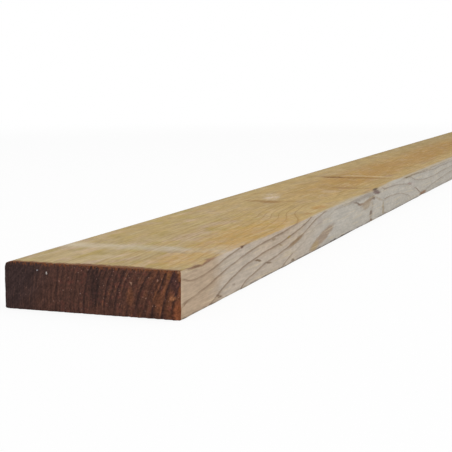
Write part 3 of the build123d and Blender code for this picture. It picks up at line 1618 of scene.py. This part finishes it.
on_edge = partial(Mark.on, Face.RIGHT)
on_top = partial(Mark.on, Face.TOP)
over_top = partial(Mark.on, Face.TOP, deep=2.0)
on_end = partial(Mark.on, Face.NEAR_END)

KNOT_BROWN: Colour = (140, 105, 62)
KNOT_DARK: Colour = (116, 78, 38)
BARK_GREY: Colour = (112, 92, 78)
HEART_BROWN: Colour = (158, 140, 122)

PLANED_MARKS = (
    # The heart, where it crosses the right edge
    on_edge((397, 11.4), (60, 7.4), HEART_BROWN, 0.95, lean=0.15, deep=8, sunk=0.15, core=0.55),
    on_edge((368, 5.6), (22, 6), (170, 148, 106), 0.6, lean=0.15, deep=8),
    on_edge((388, 29), (16, 4.5), (164, 152, 146), 0.5),
    # A branch that lies across the top, and the pale wood past it
    on_top((54, 481), (34, 13), KNOT_BROWN, 0.55, sunk=0.2),
    on_top((67, 473), (17, 15), KNOT_BROWN, 0.6),
    on_top((86, 489), (18, 12), KNOT_BROWN, 0.35),
    on_top((51, 530), (16, 50), (204, 186, 166), 0.75, lean=-0.26, broken=0.85),
    # Two brown spots near the heart
    on_top((139, 380), (5, 14), (158, 118, 74), 0.6),
    on_top((134, 441), (11, 26), (172, 126, 70), 0.65, broken=0.3),
    # Branches further along the top
    on_top((106, 663), (24, 17), (144, 110, 68), 0.65, sunk=0.2),
    on_top((122, 664), (34, 9), (146, 112, 72), 0.4),
    on_top((84, 811), (82, 11), KNOT_BROWN, 0.7, sunk=0.25),
    on_top((52, 811), (24, 15), KNOT_DARK, 0.8, sunk=0.35),
    on_top((96, 840), (50, 14), (202, 182, 150), 0.55, broken=0.4),
    on_top((120, 861), (8, 26), (150, 118, 100), 0.5),
    on_top((120, 1170), (7, 90), (158, 120, 84), 0.5, broken=0.4),
    # The whorl of branches in the right edge
    on_edge((655, 34.8), (30, 3.6), (108, 85, 80), 0.95, lean=-0.1, deep=9, sunk=0.4),
    on_top((145.5, 664), (4, 26), (88, 73, 62), 0.95, lean=-0.1, deep=2.5, sunk=0.4),
    on_top((141, 648), (5, 18), (160, 122, 86), 0.6, deep=2.5),
    on_top((146.5, 622), (8, 27), (144, 124, 96), 0.65, deep=2.2),
    on_edge((616, 31.8), (10, 2.5), (148, 140, 126), 0.6),
    on_edge((613, 28.7), (36, 3.2), (134, 110, 88), 0.8, lean=0.03, sunk=0.2),
    on_edge((572, 27.9), (26, 2.6), (138, 112, 90), 0.75, lean=-0.06),
    on_edge((600, 24.5), (36, 8), (162, 144, 121), 0.75),
    on_edge((630, 31.5), (20, 4.5), (152, 139, 125), 0.55),
    on_edge((549, 31.4), (22, 2), BARK_GREY, 0.75, lean=-0.2),
    on_edge((637, 29), (12, 3), BARK_GREY, 0.7, lean=-0.1),
    on_edge((622, 8.5), (9, 12), (150, 134, 118), 0.5),
    on_edge((624, 12), (11, 4.4), BARK_GREY, 0.7, sunk=0.3),
    on_edge((624, 2.8), (9, 3.2), BARK_GREY, 0.85),
    on_edge((668, 25), (30, 2.4), (158, 142, 122), 0.6, lean=-0.2),
    on_edge((693, 9), (7, 15), (156, 138, 110), 0.6),
    # A smaller whorl further along
    on_edge((892, 23.5), (18, 9), (180, 172, 164), 0.85),
    on_edge((926, 12.6), (26, 2.2), (134, 116, 104), 0.75, lean=-0.3),
    on_edge((969, 4), (36, 4.4), (138, 106, 80), 0.85, sunk=0.2),
    # Flecks and resin pockets on the ring lines of the right edge
    on_edge((300, 20.4), (34, 3.2), (144, 120, 92), 0.85, lean=0.12),
    on_edge((82.5, 4.6), (9.5, 1.7), (112, 90, 72), 0.85, lean=-0.2),
    on_edge((6, 10.6), (9, 1.5), (124, 98, 76), 0.7, lean=0.34),
    on_edge((182, 18.4), (12, 1.3), (118, 98, 76), 0.9, lean=-0.2),
    on_edge((212, 12), (15, 1.2), (126, 106, 86), 0.85, lean=-0.13),
    on_edge((227, 31.6), (7, 1.6), (140, 120, 94), 0.7, lean=-0.15),
    on_edge((250, 23.8), (9, 1.6), (140, 120, 92), 0.7, lean=-0.2),
    on_edge((274, 27.4), (8, 1.6), (152, 128, 66), 0.7),
    on_edge((289, 3), (7, 1.8), (122, 106, 84), 0.8),
    on_edge((116, 8), (6, 1.7), (150, 134, 118), 0.6),
    on_edge((141, 36.6), (8, 1.4), (98, 72, 58), 0.9, sunk=0.3),
    # The top's yellow, which runs over the arris down to a brown line
    on_edge((46, 38), (30, 3), (184, 156, 108), 0.8, deep=5),
    on_edge((30, 36.2), (27, 1.7), (128, 98, 76), 0.9, lean=-0.04),
    on_edge((56, 36.5), (25, 1.5), (142, 110, 88), 0.9, lean=0.06),
    # Dark lines beside the upper right arris, and a pale grey painted highlight on it
    on_edge((560, 35.6), (150, 4.2), (150, 141, 131), 0.75, deep=3),
    on_edge((1010, 37.4), (300, 2.4), (146, 136, 122), 0.6, deep=3),
    on_edge((525, 38), (95, 2.5), (178, 168, 152), 0.6, deep=13),
    on_top((148, 785), (9, 62), (178, 173, 164), 0.85, deep=2.5),
    on_edge((880, 38), (80, 1.9), (128, 112, 90), 0.8, deep=5),
    on_edge((851, 38), (22, 1.8), (112, 98, 78), 0.6, deep=5),
    # Painted shade along the lower right arris
    on_edge((700, 0), (1100, 2.7), (96, 88, 78), 0.75, deep=4, core=0.5),
    on_edge((480, 0.4), (140, 2.6), (84, 77, 70), 0.7, deep=4, core=0.5),
    # A brown line before the smaller whorl, and a painted contact shadow at the foot of the near corner
    on_edge((866, 27.2), (24, 1.5), (146, 118, 112), 0.6, lean=-0.07),
    on_edge((5, 0), (10, 2.8), (58, 48, 42), 0.9),
    # Warmer stretches of the top
    over_top((30, 200), (46, 95), (172, 147, 96), 0.5, broken=0.4),
    over_top((90, 1130), (28, 430), (168, 130, 72), 0.4, broken=0.3),
    over_top((130, 215), (42, 190), (183, 144, 82), 0.65, broken=0.5),
    over_top((128, 56), (28, 62), (183, 146, 88), 0.6, broken=0.5),
    # Paler and more olive stretches of the top
    over_top((135, 122), (10, 26), (190, 170, 140), 0.5),
    over_top((70, 46), (24, 14), (194, 174, 144), 0.5, broken=0.3),
    over_top((70, 212), (14, 40), (170, 146, 90), 0.5, broken=0.3),
    over_top((8, 345), (9, 40), (160, 146, 86), 0.5, broken=0.3),
    over_top((100, 612), (14, 24), (190, 166, 138), 0.5),
    # A shadow below the pale band
    over_top((111, 86), (17, 8), (150, 134, 110), 0.55),
    # A faint joint between two of the whorl's branches
    on_edge((630, 20), (7, 10), (154, 140, 124), 0.4),
)

SAWN_MARKS = (
    # A dense dark year
    on_end((78, 27), (8, 26), (52, 39, 38), 0.45),
    on_end((77, 26), (2.4, 28), (44, 33, 33), 0.5),
    on_end((80.5, 29), (2, 24), (44, 33, 33), 0.45),
    # Dark feet of the lines, by the underside
    on_end((118, 9), (8, 9), (68, 47, 43), 0.4),
    on_end((129, 1.5), (15, 5.5), (60, 43, 40), 0.45),
    # A dark line that leans to the right, and the dark wood past it
    *(on_end(place, (1.8, 5.5), (58, 40, 38), 0.6)
      for place in ((132.3, 30), (129.8, 25), (127.4, 20), (125.2, 15))),
    on_end((144.5, 28.5), (5.5, 11.5), (68, 46, 46), 0.75),
    # Warm wood between the lines
    on_end((84, 2), (18, 7), (100, 66, 54), 0.5),
    on_end((147.5, 6), (6.5, 11), (136, 80, 52), 0.75),
    on_end((142.8, 16.6), (3, 2.1), (172, 116, 80), 0.7),
    on_end((131, 14), (5, 10), (120, 75, 52), 0.55),
    on_end((108, 16), (4, 9), (124, 78, 52), 0.5),
    on_end((140, 33.5), (2.2, 4.5), (140, 92, 56), 0.6),
    # A pale frayed corner
    on_end((148.8, 37.2), (2.2, 2.2), (178, 142, 108), 0.7),
    # Bright specks
    on_end((29.4, 31.9), (0.85, 0.85), (170, 166, 172), 0.8),
    on_end((36.7, 30), (1, 1), (210, 202, 196), 0.95),
    on_end((109, 26.3), (1.1, 0.9), (188, 146, 122), 0.9),
    on_end((65.7, 15.6), (0.8, 0.8), (142, 112, 106), 0.8),
    on_end((130.4, 29.7), (0.8, 0.9), (150, 118, 108), 0.7),
)

NICKS = (
    Nick(Arris.TOP_LEFT, 40.0, 720.0, 1.1),
    Nick(Arris.TOP_LEFT, 0.0, 30.0, 0.45),
    Nick(Arris.TOP_RIGHT, 142.0, 5.0, 0.7),
    Nick(Arris.TOP_RIGHT, 655.0, 14.0, 0.6),
    Nick(Arris.TOP_RIGHT, 1490.0, 22.0, 0.9),
    Nick(Arris.BOTTOM_RIGHT, 560.0, 80.0, 0.45),
    Nick(Arris.BOTTOM_RIGHT, 950.0, 420.0, 0.9),
    Nick(Arris.BOTTOM_RIGHT, 967.0, 16.0, 0.6),
    Nick(Arris.BOTTOM_RIGHT, 1730.0, 12.0, 1.0),
    Nick(Arris.BOTTOM_LEFT, 420.0, 15.0, 0.8),
    Nick(Arris.BOTTOM_LEFT, 2050.0, 10.0, 1.0),
)


def main() -> None:
    """Builds the plank and its set, in order, and reports each piece."""
    logging.basicConfig(level=logging.INFO, format="%(name)s: %(message)s")
    plank = Plank(GrowthRings(PITH), PlanedFinish(PLANED_MARKS), SawnFinish(SAWN_MARKS), NICKS)
    board = plank.build()
    LOG.info("%s: %d faces, on root, in place of %s", board.name, len(board.data.polygons), plank.node)
    floor = Studio().build()
    LOG.info("%s: part of the set", floor.name)


if __name__ == "__main__":
    main()
